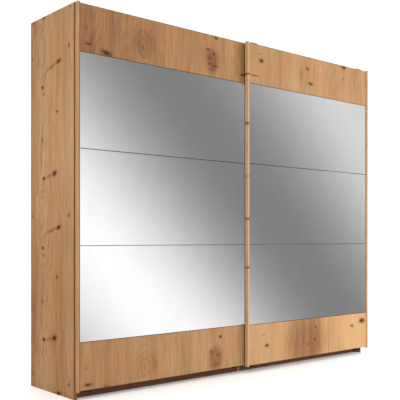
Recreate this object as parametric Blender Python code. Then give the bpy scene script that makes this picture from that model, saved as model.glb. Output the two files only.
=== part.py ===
"""Sliding door wardrobe: two mirrored doors hang on rollers in front of a board carcass.

Axes: +X runs along the front to the right, +Y to the back wall, +Z up. All sizes are metres.
The origin is the middle of the footprint, on the floor.
"""

import math

import bmesh
import bpy
from mathutils import Matrix, Vector

# Overall size
WIDTH = 2.680
HEIGHT = 2.300
DEPTH = 0.610

# Board stock and fitting gaps
GAP = 0.0003
BOARD = 0.018
BACK_SHEET = 0.003

# Edge chamfers, and the angle past which a turned shape keeps a sharp edge
BOARD_CHAMFER = 0.0008
SHEET_CHAMFER = 0.0003
GLASS_CHAMFER = 0.0004
BAND_CHAMFER = 0.0005
PROFILE_CHAMFER = 0.0015
SHARP_ANGLE = math.radians(35)
MERGE_DISTANCE = 0.00001

# Carcass
CARCASS_DEPTH = 0.5375
SIDE_HEIGHT = 2.296
BOTTOM_LOW = 0.070
TOP_HIGH = 2.234
BACK_INSET = 0.0085
BACK_SLOT = 0.0026
PLINTH_SETBACK = 0.045
SHELF_LOW = 1.905
SHELF_SETBACK = 0.040
SHELF_BACK_CLEARANCE = 0.006

# Doors: both are alike, the right one hangs one track further forward
DOOR_WIDTH = 1.360
DOOR_LOW = 0.0545
DOOR_HIGH = 2.2865
TRACK_STEP = 0.035
CORE_STANDOFF = 0.013
CORE = 0.012
MIRROR_GLASS = 0.0037
BAND = 0.0052
MIRROR_LOW = 0.3318
MIRROR_HIGH = 2.0108
SEAM = 0.004
SEAM_STRIP_DEPTH = 0.0032
PROFILE_WIDTH = 0.016
PROFILE_DEPTH = 0.029
PROFILE_STANDOFF = 0.0085
PROFILE_OVERHANG = 0.008

# Roller rail: distances are measured back from the carcass front
RAIL_SETBACK = 0.001
RAIL_DEPTH = 0.0575
RAIL_BASE = 0.003
RIB = 0.0024
RIB_TOP = 2.262
RIB_BACK = {"left": 0.012, "right": 0.037}

# Rollers, axles and end stops
ROLLER_RADIUS = 0.016
GROOVE_RADIUS = 0.013
ROLLER_WIDTH = 0.009
GROOVE_WIDTH = 0.0036
ROLLER_CHAMFER = 0.0008
AXLE_RADIUS = 0.004
AXLE_HEAD_RADIUS = 0.007
AXLE_HEAD = 0.0015
ROLLER_PLAY = 0.0005
STOP_LENGTH = 0.030
STOP_HALF_WIDTH = 0.007
STOP_RISE = 0.006

# Hangers: the rear door's plate ends above its rollers, the front door's reaches over the rear door
HANGER_INSET = 0.090
HANGER_WIDTH = 0.060
HANGER_LOW = 2.190
STEEL = 0.003
REAR_PLATE_RISE = 0.0145
FRONT_PLATE_DROP = 0.012
FRONT_PLATE_CLEARANCE = 0.0035

# Guide rail and guide brackets
GUIDE_RAIL_HIGH = 0.0175
GUIDE_RAIL_WEB = 0.003
GUIDE_RAIL_SETBACK = 0.0005
GUIDE_RAIL_CLEARANCE = 0.001
GUIDE_SLOT = 0.009
GUIDE_BACK = {"left": 0.0105, "right": 0.029}
GUIDE_WIDTH = 0.040
GUIDE_LEG_LOW = {"left": 0.040, "right": 0.033}
GUIDE_PLATE_TOP = 0.105
GUIDE_PIN_RADIUS = 0.003
GUIDE_PIN_CLEARANCE = 0.007
GUIDE_LEG_OVERHANG = 0.002

# Clothes rails: oval tube
OVAL_HIGH = 0.030
OVAL_WIDE = 0.015
OVAL_WALL = 0.0012
OVAL_CENTRE = (0.035, 1.855)
SOCKET_DEPTH = 0.012
SOCKET_FLOOR = 0.002
SOCKET_WALL = 0.003

# Derived planes
FRONT = -DEPTH / 2 + (DEPTH - CARCASS_DEPTH)
BACK = DEPTH / 2
INNER_X = WIDTH / 2 - BOARD
PARTITION_X = BOARD / 2
PANEL_BACK = BACK - BACK_INSET
ROLLER_Z = RIB_TOP + GROOVE_RADIUS + GAP


def clear_scene():
    for obj in list(bpy.data.objects):
        bpy.data.objects.remove(obj, do_unlink=True)


def finish(name, colour, roughness, metallic=0.0):
    """A Principled material."""
    material = bpy.data.materials.new(name)
    material.use_nodes = True
    shader = material.node_tree.nodes["Principled BSDF"]
    shader.inputs["Base Color"].default_value = (*colour, 1.0)
    shader.inputs["Roughness"].default_value = roughness
    shader.inputs["Metallic"].default_value = metallic
    material.diffuse_color = (*colour, 1.0)
    return material


def new_mesh(name, bm):
    """Turns a finished bmesh into a mesh with its faces pointing out."""
    bmesh.ops.recalc_face_normals(bm, faces=bm.faces)
    mesh = bpy.data.meshes.new(name)
    bm.to_mesh(mesh)
    bm.free()
    return mesh


def place(name, mesh, location, material, parent=None):
    """Adds an object for the mesh. The location is in world space, also under a parent."""
    obj = bpy.data.objects.new(name, mesh)
    bpy.context.scene.collection.objects.link(obj)
    if material and not mesh.materials:
        mesh.materials.append(material)
    if parent:
        obj.parent = parent
        location = Vector(location) - parent.location
    obj.location = location
    return obj


def board(name, low, high, material, parent=None, chamfer=BOARD_CHAMFER):
    """A rectangular board between two corners, with a fine chamfer all round."""
    low = Vector(low)
    high = Vector(high)
    bm = bmesh.new()
    bmesh.ops.create_cube(bm, size=1.0)
    bmesh.ops.scale(bm, vec=high - low, verts=bm.verts)
    obj = place(name, new_mesh(name, bm), (low + high) / 2, material, parent)
    edge = obj.modifiers.new("edge", "BEVEL")
    edge.width = chamfer
    edge.segments = 1
    return obj


def extruded_mesh(name, outline, length):
    """A closed (y, z) outline extruded along X, centred on X = 0."""
    bm = bmesh.new()
    ring = [bm.verts.new((-length / 2, y, z)) for y, z in outline]
    face = bm.faces.new(ring)
    grown = bmesh.ops.extrude_face_region(bm, geom=[face])["geom"]
    moved = [item for item in grown if isinstance(item, bmesh.types.BMVert)]
    bmesh.ops.translate(bm, vec=(length, 0, 0), verts=moved)
    return new_mesh(name, bm)


def turned_mesh(name, profile, steps=32):
    """A (radius, y) profile turned round the Y axis. A ring's profile repeats its first point."""
    bm = bmesh.new()
    points = [bm.verts.new((radius, y, 0)) for radius, y in profile]
    edges = [bm.edges.new(pair) for pair in zip(points, points[1:])]
    bmesh.ops.spin(
        bm,
        geom=points + edges,
        cent=(0, 0, 0),
        axis=(0, 1, 0),
        angle=math.tau,
        steps=steps,
    )
    bmesh.ops.remove_doubles(bm, verts=bm.verts, dist=MERGE_DISTANCE)
    mesh = new_mesh(name, bm)
    mesh.shade_smooth()
    mesh.set_sharp_from_angle(angle=SHARP_ANGLE)
    return mesh


def united_mesh(name, first, second):
    """One mesh from two overlapping ones."""
    base = place(name + "_base", first, (0, 0, 0), None)
    added = place(name + "_added", second, (0, 0, 0), None)
    union = base.modifiers.new("union", "BOOLEAN")
    union.operation = "UNION"
    union.object = added
    bpy.context.view_layer.update()
    graph = bpy.context.evaluated_depsgraph_get()
    mesh = bpy.data.meshes.new_from_object(base.evaluated_get(graph))
    bpy.data.objects.remove(base)
    bpy.data.objects.remove(added)
    return mesh


def stadium(high, wide, centre, grow=0.0, steps=8):
    """The outline of an oval tube: two half circles joined by straight sides."""
    radius = wide / 2 + grow
    reach = (high - wide) / 2
    points = []
    for end, start in ((1, 0.0), (-1, math.pi)):
        for step in range(steps + 1):
            angle = start + math.pi * step / steps
            y = centre[0] + radius * math.cos(angle)
            z = centre[1] + end * reach + radius * math.sin(angle)
            points.append((y, z))
    return points


def carcass(oak, dark, hardboard):
    """Sides, partition, tops, bottoms, plinths, shelves and back."""
    for side, sign in (("left", -1), ("right", 1)):
        outer = sign * WIDTH / 2
        inner = sign * INNER_X
        wall = inner - sign * GAP
        middle = sign * (PARTITION_X + GAP)
        low_x = min(wall, middle)
        high_x = max(wall, middle)
        board(
            f"side_panel_{side}",
            (min(outer, inner), FRONT, 0),
            (max(outer, inner), BACK, SIDE_HEIGHT),
            oak,
        )
        board(
            f"bottom_panel_{side}",
            (low_x, FRONT, BOTTOM_LOW),
            (high_x, PANEL_BACK, BOTTOM_LOW + BOARD),
            oak,
        )
        board(
            f"top_panel_{side}",
            (low_x, FRONT, TOP_HIGH - BOARD),
            (high_x, PANEL_BACK, TOP_HIGH),
            oak,
        )
        plinth_front = FRONT + PLINTH_SETBACK
        board(
            f"plinth_{side}",
            (low_x, plinth_front, 0),
            (high_x, plinth_front + BOARD, BOTTOM_LOW - GAP),
            dark,
        )
        board(
            f"shelf_{side}",
            (low_x, FRONT + SHELF_SETBACK, SHELF_LOW),
            (high_x, PANEL_BACK - SHELF_BACK_CLEARANCE, SHELF_LOW + BOARD),
            oak,
        )
        back_of(side, low_x, high_x, hardboard)
    notch_back = FRONT + PLINTH_SETBACK
    outline = [
        (notch_back, 0),
        (PANEL_BACK, 0),
        (PANEL_BACK, TOP_HIGH),
        (FRONT, TOP_HIGH),
        (FRONT, BOTTOM_LOW),
        (notch_back, BOTTOM_LOW),
    ]
    mesh = extruded_mesh("centre_partition", outline, BOARD)
    place("centre_partition", mesh, (0, 0, 0), oak)


def back_of(side, low_x, high_x, hardboard):
    """Two thin sheets a side. A narrow slot between them takes their joining strip."""
    middle = (low_x + high_x) / 2
    near = PANEL_BACK + GAP
    spans = [(low_x, middle - BACK_SLOT / 2), (middle + BACK_SLOT / 2, high_x)]
    for label, (start, end) in zip(("left", "right"), spans):
        board(
            f"back_sheet_{side}_{label}",
            (start, near, BOTTOM_LOW),
            (end, near + BACK_SHEET, TOP_HIGH),
            hardboard,
            chamfer=SHEET_CHAMFER,
        )


def clothes_rails(chrome):
    """An oval tube in each half, held by a cup at each end."""
    for side, sign in (("left", -1), ("right", 1)):
        ends = sorted((sign * INNER_X, sign * PARTITION_X))
        length = ends[1] - ends[0] - 2 * (SOCKET_FLOOR + 2 * GAP)
        bm = bmesh.new()
        outline = stadium(OVAL_HIGH, OVAL_WIDE, (0, 0))
        face = bm.faces.new([bm.verts.new((-length / 2, y, z)) for y, z in outline])
        bm.normal_update()
        inset = bmesh.ops.inset_region(
            bm, faces=[face], thickness=OVAL_WALL, use_boundary=True
        )["faces"]
        bmesh.ops.delete(bm, geom=[face], context="FACES_ONLY")
        grown = bmesh.ops.extrude_face_region(bm, geom=inset)["geom"]
        moved = [item for item in grown if isinstance(item, bmesh.types.BMVert)]
        bmesh.ops.translate(bm, vec=(length, 0, 0), verts=moved)
        mesh = new_mesh(f"clothes_rail_{side}", bm)
        mesh.shade_smooth()
        mesh.set_sharp_from_angle(angle=SHARP_ANGLE)
        middle = (ends[0] + ends[1]) / 2
        place(f"clothes_rail_{side}", mesh, (middle, *OVAL_CENTRE), chrome)
        for end, facing, label in ((ends[0], 1, "left"), (ends[1], -1, "right")):
            name = f"rail_socket_{side}_{label}"
            mesh = socket_mesh(name, facing)
            place(name, mesh, (end + facing * GAP, *OVAL_CENTRE), chrome)


def socket_mesh(name, facing):
    """An oval cup on the wall at X = 0, open towards +X or -X."""
    bm = bmesh.new()
    outline = stadium(OVAL_HIGH, OVAL_WIDE, (0, 0), grow=GAP + SOCKET_WALL)
    face = bm.faces.new([bm.verts.new((0, y, z)) for y, z in outline])
    grown = bmesh.ops.extrude_face_region(bm, geom=[face])["geom"]
    moved = [item for item in grown if isinstance(item, bmesh.types.BMVert)]
    bmesh.ops.translate(bm, vec=(SOCKET_DEPTH, 0, 0), verts=moved)
    mouth = next(item for item in grown if isinstance(item, bmesh.types.BMFace))
    bmesh.ops.recalc_face_normals(bm, faces=bm.faces)
    bmesh.ops.inset_region(bm, faces=[mouth], thickness=SOCKET_WALL)
    sunk = bmesh.ops.extrude_discrete_faces(bm, faces=[mouth])["faces"]
    bmesh.ops.translate(bm, vec=(SOCKET_FLOOR - SOCKET_DEPTH, 0, 0), verts=sunk[0].verts)
    if facing < 0:
        bmesh.ops.scale(bm, vec=(-1, 1, 1), verts=bm.verts)
    mesh = new_mesh(name, bm)
    mesh.shade_smooth()
    mesh.set_sharp_from_angle(angle=SHARP_ANGLE)
    return mesh


def tracks(aluminium, rubber):
    """The double rail on the top panels, the guide rail under the bottoms, and the end stops."""
    length = 2 * (INNER_X - GAP)
    base_low = TOP_HIGH + GAP
    base_high = base_low + RAIL_BASE
    front = FRONT + RAIL_SETBACK
    outline = [
        (front, base_low),
        (FRONT + RAIL_DEPTH, base_low),
        (FRONT + RAIL_DEPTH, base_high),
    ]
    for side in ("right", "left"):
        rib = FRONT + RIB_BACK[side]
        outline.append((rib + RIB / 2, base_high))
        outline.append((rib + RIB / 2, RIB_TOP - RIB / 3))
        outline.append((rib + RIB / 4, RIB_TOP))
        outline.append((rib - RIB / 4, RIB_TOP))
        outline.append((rib - RIB / 2, RIB_TOP - RIB / 3))
        outline.append((rib - RIB / 2, base_high))
    outline.append((front, base_high))
    mesh = extruded_mesh("top_rail", outline, length)
    place("top_rail", mesh, (0, 0, 0), aluminium)

    rail_high = BOTTOM_LOW - GAP
    rail_low = rail_high - GUIDE_RAIL_HIGH
    slot_high = rail_high - GUIDE_RAIL_WEB
    near = FRONT + GUIDE_RAIL_SETBACK
    far = FRONT + PLINTH_SETBACK - GUIDE_RAIL_CLEARANCE
    outline = [(near, rail_high), (near, rail_low)]
    for side in ("left", "right"):
        middle = FRONT + GUIDE_BACK[side]
        outline.append((middle - GUIDE_SLOT / 2, rail_low))
        outline.append((middle - GUIDE_SLOT / 2, slot_high))
        outline.append((middle + GUIDE_SLOT / 2, slot_high))
        outline.append((middle + GUIDE_SLOT / 2, rail_low))
    outline += [(far, rail_low), (far, rail_high)]
    mesh = extruded_mesh("bottom_guide_rail", outline, length)
    place("bottom_guide_rail", mesh, (0, 0, 0), aluminium)

    roller_x = WIDTH / 2 - HANGER_INSET
    stop_x = roller_x + ROLLER_RADIUS + ROLLER_PLAY + STOP_LENGTH / 2
    stop_high = ROLLER_Z + STOP_RISE
    half = STOP_HALF_WIDTH
    slot = RIB / 2 + GAP
    for track in ("left", "right"):
        for end, sign in (("left", -1), ("right", 1)):
            name = f"end_stop_{track}_door_{end}"
            outline = [
                (-half, base_high + GAP),
                (-slot, base_high + GAP),
                (-slot, RIB_TOP + GAP),
                (slot, RIB_TOP + GAP),
                (slot, base_high + GAP),
                (half, base_high + GAP),
                (half, stop_high),
                (-half, stop_high),
            ]
            mesh = extruded_mesh(name, outline, STOP_LENGTH)
            place(name, mesh, (sign * stop_x, FRONT + RIB_BACK[track], 0), rubber)


def axle_mesh(start, roller_back):
    """A headed axle along Y: from inside the bracket at start to behind the roller."""
    head = roller_back + ROLLER_PLAY
    profile = [
        (0, start),
        (AXLE_RADIUS, start),
        (AXLE_RADIUS, head),
        (AXLE_HEAD_RADIUS, head),
        (AXLE_HEAD_RADIUS, head + AXLE_HEAD),
        (0, head + AXLE_HEAD),
    ]
    return turned_mesh("axle", profile, steps=24)


def hanger_mesh(side, step):
    """The bent steel bracket that carries a door, with its axle. Y is world, X and Z local."""
    core_back = FRONT - CORE_STANDOFF - step
    plate_front = core_back + GAP
    low = HANGER_LOW - ROLLER_Z
    roller_back = FRONT + RIB_BACK[side] + ROLLER_WIDTH / 2
    if side == "left":
        outline = [
            (plate_front, low),
            (plate_front + STEEL, low),
            (plate_front + STEEL, REAR_PLATE_RISE),
            (plate_front, REAR_PLATE_RISE),
        ]
        start = plate_front + STEEL / 2
    else:
        arm_high = HEIGHT - ROLLER_Z
        drop_back = FRONT + RIB_BACK[side] - ROLLER_WIDTH / 2 - FRONT_PLATE_CLEARANCE
        outline = [
            (plate_front, low),
            (plate_front + STEEL, low),
            (plate_front + STEEL, arm_high - STEEL),
            (drop_back - STEEL, arm_high - STEEL),
            (drop_back - STEEL, -FRONT_PLATE_DROP),
            (drop_back, -FRONT_PLATE_DROP),
            (drop_back, arm_high),
            (plate_front, arm_high),
        ]
        start = drop_back - STEEL / 2
    plate = extruded_mesh("plate", outline, HANGER_WIDTH)
    return united_mesh("hanger", plate, axle_mesh(start, roller_back))


def roller_mesh():
    """A grooved wheel turned about the Y axis, with a bore."""
    half = ROLLER_WIDTH / 2
    groove = GROOVE_WIDTH / 2
    bore = AXLE_RADIUS + GAP
    profile = [
        (bore, -half),
        (ROLLER_RADIUS - ROLLER_CHAMFER, -half),
        (ROLLER_RADIUS, -half + ROLLER_CHAMFER),
        (ROLLER_RADIUS, -groove - ROLLER_CHAMFER),
        (GROOVE_RADIUS, -groove),
        (GROOVE_RADIUS, groove),
        (ROLLER_RADIUS, groove + ROLLER_CHAMFER),
        (ROLLER_RADIUS, half - ROLLER_CHAMFER),
        (ROLLER_RADIUS - ROLLER_CHAMFER, half),
        (bore, half),
        (bore, -half),
    ]
    return turned_mesh("roller", profile)


def guide_mesh(side, step):
    """The bracket under a door whose pin runs in the guide rail. Y and Z are world."""
    plate_front = FRONT - CORE_STANDOFF - step + GAP
    pin_y = FRONT + GUIDE_BACK[side]
    leg_low = GUIDE_LEG_LOW[side]
    reach = pin_y + GUIDE_PIN_RADIUS + GUIDE_LEG_OVERHANG
    outline = [
        (plate_front, leg_low),
        (reach, leg_low),
        (reach, leg_low + STEEL),
        (plate_front + STEEL, leg_low + STEEL),
        (plate_front + STEEL, GUIDE_PLATE_TOP),
        (plate_front, GUIDE_PLATE_TOP),
    ]
    bracket = extruded_mesh("bracket", outline, GUIDE_WIDTH)
    pin_high = BOTTOM_LOW - GUIDE_PIN_CLEARANCE
    profile = [
        (0, leg_low + STEEL / 2),
        (GUIDE_PIN_RADIUS, leg_low + STEEL / 2),
        (GUIDE_PIN_RADIUS, pin_high),
        (0, pin_high),
    ]
    pin = turned_mesh("pin", profile, steps=20)
    # The pin is turned about Y and then stood upright.
    pin.transform(Matrix.Translation((0, pin_y, 0)) @ Matrix.Rotation(math.pi / 2, 4, "X"))
    return united_mesh("guide", bracket, pin)


def door(side, sign, finishes):
    """A hanging door: core, two wood bands, three mirror panes, seam strips and edge profiles."""
    step = 0.0 if side == "left" else TRACK_STEP
    outer = sign * WIDTH / 2
    inner = outer - sign * DOOR_WIDTH
    low_x = min(outer, inner)
    high_x = max(outer, inner)
    middle = (low_x + high_x) / 2
    axis = bpy.data.objects.new(f"{side}_door_axis", None)
    bpy.context.scene.collection.objects.link(axis)
    axis.location = (middle, FRONT + RIB_BACK[side], RIB_TOP)
    panel_low = low_x + PROFILE_WIDTH + GAP
    panel_high = high_x - PROFILE_WIDTH - GAP
    core_back = FRONT - CORE_STANDOFF - step
    core_front = core_back - CORE
    name = f"{side}_door"
    board(
        f"{name}_core",
        (panel_low, core_front, DOOR_LOW),
        (panel_high, core_back, DOOR_HIGH),
        finishes["core"],
        axis,
    )
    face = core_front - GAP
    for label, low, high in (
        ("bottom", DOOR_LOW, MIRROR_LOW - GAP),
        ("top", MIRROR_HIGH + GAP, DOOR_HIGH),
    ):
        board(
            f"{name}_band_{label}",
            (panel_low, face - BAND, low),
            (panel_high, face, high),
            finishes["oak"],
            axis,
            chamfer=BAND_CHAMFER,
        )
    pane = (MIRROR_HIGH - MIRROR_LOW - 2 * SEAM) / 3
    for index, label in enumerate(("bottom", "middle", "top")):
        low = MIRROR_LOW + index * (pane + SEAM)
        board(
            f"{name}_mirror_{label}",
            (panel_low, face - MIRROR_GLASS, low),
            (panel_high, face, low + pane),
            finishes["mirror"],
            axis,
            chamfer=GLASS_CHAMFER,
        )
        if index:
            seam_label = ("lower", "upper")[index - 1]
            board(
                f"{name}_seam_strip_{seam_label}",
                (panel_low, face - SEAM_STRIP_DEPTH, low - SEAM + GAP),
                (panel_high, face, low - GAP),
                finishes["aluminium"],
                axis,
                chamfer=GLASS_CHAMFER,
            )
    profile_back = FRONT - PROFILE_STANDOFF - step
    for label, start in (("left", low_x), ("right", high_x - PROFILE_WIDTH)):
        board(
            f"{name}_profile_{label}",
            (start, profile_back - PROFILE_DEPTH, DOOR_LOW - PROFILE_OVERHANG),
            (start + PROFILE_WIDTH, profile_back, DOOR_HIGH + PROFILE_OVERHANG),
            finishes["oak"],
            axis,
            chamfer=PROFILE_CHAMFER,
        )
    hanger = hanger_mesh(side, step)
    roller = roller_mesh()
    guide = guide_mesh(side, step)
    for label, x in (("left", low_x + HANGER_INSET), ("right", high_x - HANGER_INSET)):
        place(f"{name}_hanger_{label}", hanger, (x, 0, ROLLER_Z), finishes["steel"], axis)
        centre = (x, FRONT + RIB_BACK[side], ROLLER_Z)
        place(f"{name}_roller_{label}", roller, centre, finishes["nylon"], axis)
        place(f"{name}_guide_{label}", guide, (x, 0, 0), finishes["dark"], axis)


def build():
    clear_scene()
    oak = finish("oak_decor", (0.58, 0.32, 0.15), 0.55)
    dark = finish("dark_plinth", (0.09, 0.04, 0.015), 0.6)
    hardboard = finish("hardboard", (0.62, 0.45, 0.28), 0.7)
    chrome = finish("chrome_plate", (0.75, 0.75, 0.76), 0.15, 1.0)
    aluminium = finish("anodised_aluminium", (0.62, 0.62, 0.63), 0.35, 1.0)
    rubber = finish("rubber", (0.03, 0.03, 0.03), 0.85)
    finishes = {
        "oak": oak,
        "core": finish("core_board", (0.45, 0.28, 0.14), 0.65),
        "mirror": finish("mirror", (0.85, 0.87, 0.88), 0.02, 1.0),
        "aluminium": aluminium,
        "steel": finish("zinc_plated_steel", (0.55, 0.56, 0.58), 0.3, 1.0),
        "nylon": finish("nylon", (0.72, 0.70, 0.64), 0.5),
        "dark": finish("dark_steel", (0.05, 0.03, 0.02), 0.5),
    }
    carcass(oak, dark, hardboard)
    clothes_rails(chrome)
    tracks(aluminium, rubber)
    door("left", -1, finishes)
    door("right", 1, finishes)


build()
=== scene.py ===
# %% [markdown]
# # A mirrored sliding wardrobe
# The wardrobe's boards, doors, rails and rollers arrive as a fixed frame, already at their real size
# and place. This lesson gives each of them its finish, adds the small fittings, and lights the whole
# in a plain studio. Everything is in metres, +X runs along the front, +Y goes to the wall, +Z is up.

# %% Load the frame
import math

import bpy
from mathutils import Matrix, Vector


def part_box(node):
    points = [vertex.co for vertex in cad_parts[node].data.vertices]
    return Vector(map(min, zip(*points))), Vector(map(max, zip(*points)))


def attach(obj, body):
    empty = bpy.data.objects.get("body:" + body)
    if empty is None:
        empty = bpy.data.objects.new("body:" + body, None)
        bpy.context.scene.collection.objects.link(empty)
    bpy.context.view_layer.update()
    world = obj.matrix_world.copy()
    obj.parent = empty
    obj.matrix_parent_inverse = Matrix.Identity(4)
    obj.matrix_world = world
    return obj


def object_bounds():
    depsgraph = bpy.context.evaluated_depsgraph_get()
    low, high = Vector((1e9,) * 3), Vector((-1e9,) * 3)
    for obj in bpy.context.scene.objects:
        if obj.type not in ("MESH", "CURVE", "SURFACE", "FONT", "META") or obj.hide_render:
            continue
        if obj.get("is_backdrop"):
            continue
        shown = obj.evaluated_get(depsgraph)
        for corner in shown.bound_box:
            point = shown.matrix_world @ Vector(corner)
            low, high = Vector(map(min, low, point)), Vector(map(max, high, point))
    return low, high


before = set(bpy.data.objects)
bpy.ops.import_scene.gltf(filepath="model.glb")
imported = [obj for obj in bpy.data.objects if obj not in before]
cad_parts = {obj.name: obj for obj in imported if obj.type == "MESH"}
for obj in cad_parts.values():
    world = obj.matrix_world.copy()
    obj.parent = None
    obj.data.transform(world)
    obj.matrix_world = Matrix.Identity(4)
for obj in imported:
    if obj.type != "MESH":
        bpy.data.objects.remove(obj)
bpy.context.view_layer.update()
MM = 0.001

# %% [markdown]
# ## Three helpers for every material
# Colours are written the way a paint maker gives them, as sRGB hex values, and one function turns
# them to linear light. One function adds any shader node: its own settings come as keywords and its
# inputs as a dictionary, where another node's socket makes a link. That keeps each material readable
# as a list of what it is made of.

# %% Colour, node and material helpers
def linear(hex_colour):
    """An sRGB hex colour as linear RGBA."""
    channels = [int(hex_colour[i : i + 2], 16) / 255 for i in (1, 3, 5)]
    return [c / 12.92 if c <= 0.04045 else ((c + 0.055) / 1.055) ** 2.4 for c in channels] + [1.0]


def node(tree, kind, inputs=None, stops=None, **settings):
    """Adds a shader node with its settings, its inputs and, on a ramp, its colour stops."""
    made = tree.nodes.new("ShaderNode" + kind)
    for key, value in settings.items():
        setattr(made, key, value)
    for key, value in (inputs or {}).items():
        if isinstance(value, bpy.types.NodeSocket):
            tree.links.new(value, made.inputs[key])
        else:
            made.inputs[key].default_value = value
    if stops:
        ramp = made.color_ramp
        while len(ramp.elements) < len(stops):
            ramp.elements.new(0.5)
        for element, (place, colour) in zip(ramp.elements, stops):
            element.position = place
            element.color = linear(colour)
    return made


def new_material(name, **constants):
    """A Principled material whose constant values go straight on the shader's own sockets."""
    material = bpy.data.materials.new(name)
    material.use_nodes = True
    shader = material.node_tree.nodes["Principled BSDF"]
    for key, value in constants.items():
        shader.inputs[key.replace("_", " ")].default_value = value
    return material, material.node_tree, shader


print("helpers ready")

# %% [markdown]
# ## The camera
# The wardrobe is seen from its left front at table height, with a long lens so that the uprights stay
# upright. The camera is level and the picture is framed with a small upward shift, as an interior
# photographer does it. It comes first because the lighting is judged through it.

# %% Camera
CAMERA_AZIMUTH = -40.37
CAMERA_FROM_CORNER = (-2.0927, -3.5782, 0.9303)
LENS_MM = 63.8
SHIFT_UP = 0.0971

side_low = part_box("side_panel_left")[0]
corner = Vector((side_low.x, side_low.y, 0))
camera_data = bpy.data.cameras.new("camera")
camera_data.lens = LENS_MM
camera_data.shift_y = SHIFT_UP
camera = bpy.data.objects.new("camera", camera_data)
bpy.context.scene.collection.objects.link(camera)
camera.location = corner + Vector(CAMERA_FROM_CORNER)
camera.rotation_euler = (math.radians(90), 0, math.radians(CAMERA_AZIMUTH))
bpy.context.scene.camera = camera
bpy.context.scene.view_settings.view_transform = "Standard"
print("camera at", [round(value, 2) for value in camera.location])

# %% [markdown]
# ## The studio
# A pale floor, a white surround and three soft lamps. The floor glows a little of its own, so that it
# stays as white as the surround. The surround lights the wardrobe more from above than from the
# sides, as a white ceiling does, while the camera sees it as plain white.
#
# The mirrors show whatever stands opposite them, so the studio also has what a furniture
# photographer hangs there: a tall screen with two long diagonal glows. It reaches across the whole
# front. It only shows in reflections, so it shades nothing and no view is blocked by it. The floor
# stays out of reflections, or its far edge would draw a hard line across the mirrors.

# %% Floor and surround
FLOOR_SIZE = 40.0
FLOOR_GLOW = 0.20
# The surround's strength as the camera sees it, level with the eye, and how fast it grows upwards.
SEEN_WHITE = 1.06
SURROUND_GREY = 0.42
SURROUND_SLOPE = 1.05
BRIGHT_SIDE = Vector((0.15, 0, 1))

bpy.ops.mesh.primitive_plane_add(size=FLOOR_SIZE, location=(0, 0, 0))
floor = bpy.context.object
floor.name = "studio_floor"
paint, tree, shader = new_material("pale_studio_floor_paint", Roughness=0.6)
shader.inputs["Base Color"].default_value = linear("#FBFBFA")
shader.inputs["Emission Color"].default_value = linear("#FFFFFF")
shader.inputs["Emission Strength"].default_value = FLOOR_GLOW
floor.data.materials.append(paint)
floor.visible_glossy = False
floor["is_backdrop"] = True

world = bpy.data.worlds.new("studio_surround")
world.use_nodes = True
bpy.context.scene.world = world
studio = world.node_tree
surround = studio.nodes["Background"]
direction = node(studio, "TexCoord").outputs["Generated"]
facing = node(studio, "VectorMath", {0: direction, 1: BRIGHT_SIDE}, operation="DOT_PRODUCT")
soft = node(
    studio,
    "Math",
    {0: facing.outputs["Value"], 1: SURROUND_SLOPE, 2: SURROUND_GREY},
    operation="MULTIPLY_ADD",
)
rays = node(studio, "LightPath")
strength = node(
    studio,
    "Mix",
    {0: rays.outputs["Is Camera Ray"], 2: soft.outputs[0], 3: SEEN_WHITE},
    data_type="FLOAT",
)
studio.links.new(strength.outputs[0], surround.inputs["Strength"])
surround.inputs["Color"].default_value = linear("#FFFFFF")
print("floor and surround")

# %% The screen that the mirrors reflect
SCREEN_Y = -2.0
SCREEN_HALF_WIDTH = 7.0
SCREEN_TOP = 5.0
SCREEN_FOOT = -4.0
SCREEN_BASE = 0.20
DIAGONAL = (math.sqrt(0.5), 0, math.sqrt(0.5))
# Each glow: how far along the diagonal it lies, its half width, and its brightness.
GLOWS = ((0.50, 0.88, 0.92), (4.07, 1.03, 0.56))

bpy.ops.mesh.primitive_plane_add(size=1, location=(0, SCREEN_Y, (SCREEN_TOP + SCREEN_FOOT) / 2))
screen = bpy.context.object
screen.name = "studio_screen"
screen.scale = (2 * SCREEN_HALF_WIDTH, SCREEN_TOP - SCREEN_FOOT, 1)
screen.rotation_euler = (math.radians(90), 0, 0)
bpy.ops.object.transform_apply(location=True, rotation=True, scale=True)
screen.visible_camera = False
screen.visible_diffuse = False
screen.visible_shadow = False
screen.visible_transmission = False
glow_paint, tree, shader = new_material("glowing_studio_screen")
tree.nodes.remove(shader)
screen_point = node(tree, "TexCoord").outputs["Object"]
diagonal = node(
    tree,
    "VectorMath",
    {0: screen_point, 1: DIAGONAL},
    operation="DOT_PRODUCT",
)
brightness = SCREEN_BASE
for middle, half_width, height in GLOWS:
    away = node(tree, "Math", {0: diagonal.outputs["Value"], 1: middle}, operation="SUBTRACT")
    scaled = node(tree, "Math", {0: away.outputs[0], 1: half_width}, operation="DIVIDE")
    square = node(tree, "Math", {0: scaled.outputs[0], 1: scaled.outputs[0]}, operation="MULTIPLY")
    falloff = node(tree, "Math", {0: 1 / math.e, 1: square.outputs[0]}, operation="POWER")
    glow = node(
        tree,
        "Math",
        {0: falloff.outputs[0], 1: height, 2: brightness},
        operation="MULTIPLY_ADD",
    )
    brightness = glow.outputs[0]
emission = node(tree, "Emission", {"Strength": brightness})
tree.links.new(emission.outputs[0], tree.nodes["Material Output"].inputs["Surface"])
screen.data.materials.append(glow_paint)
screen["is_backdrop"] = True
print("screen", 2 * SCREEN_HALF_WIDTH, "m wide")

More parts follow.
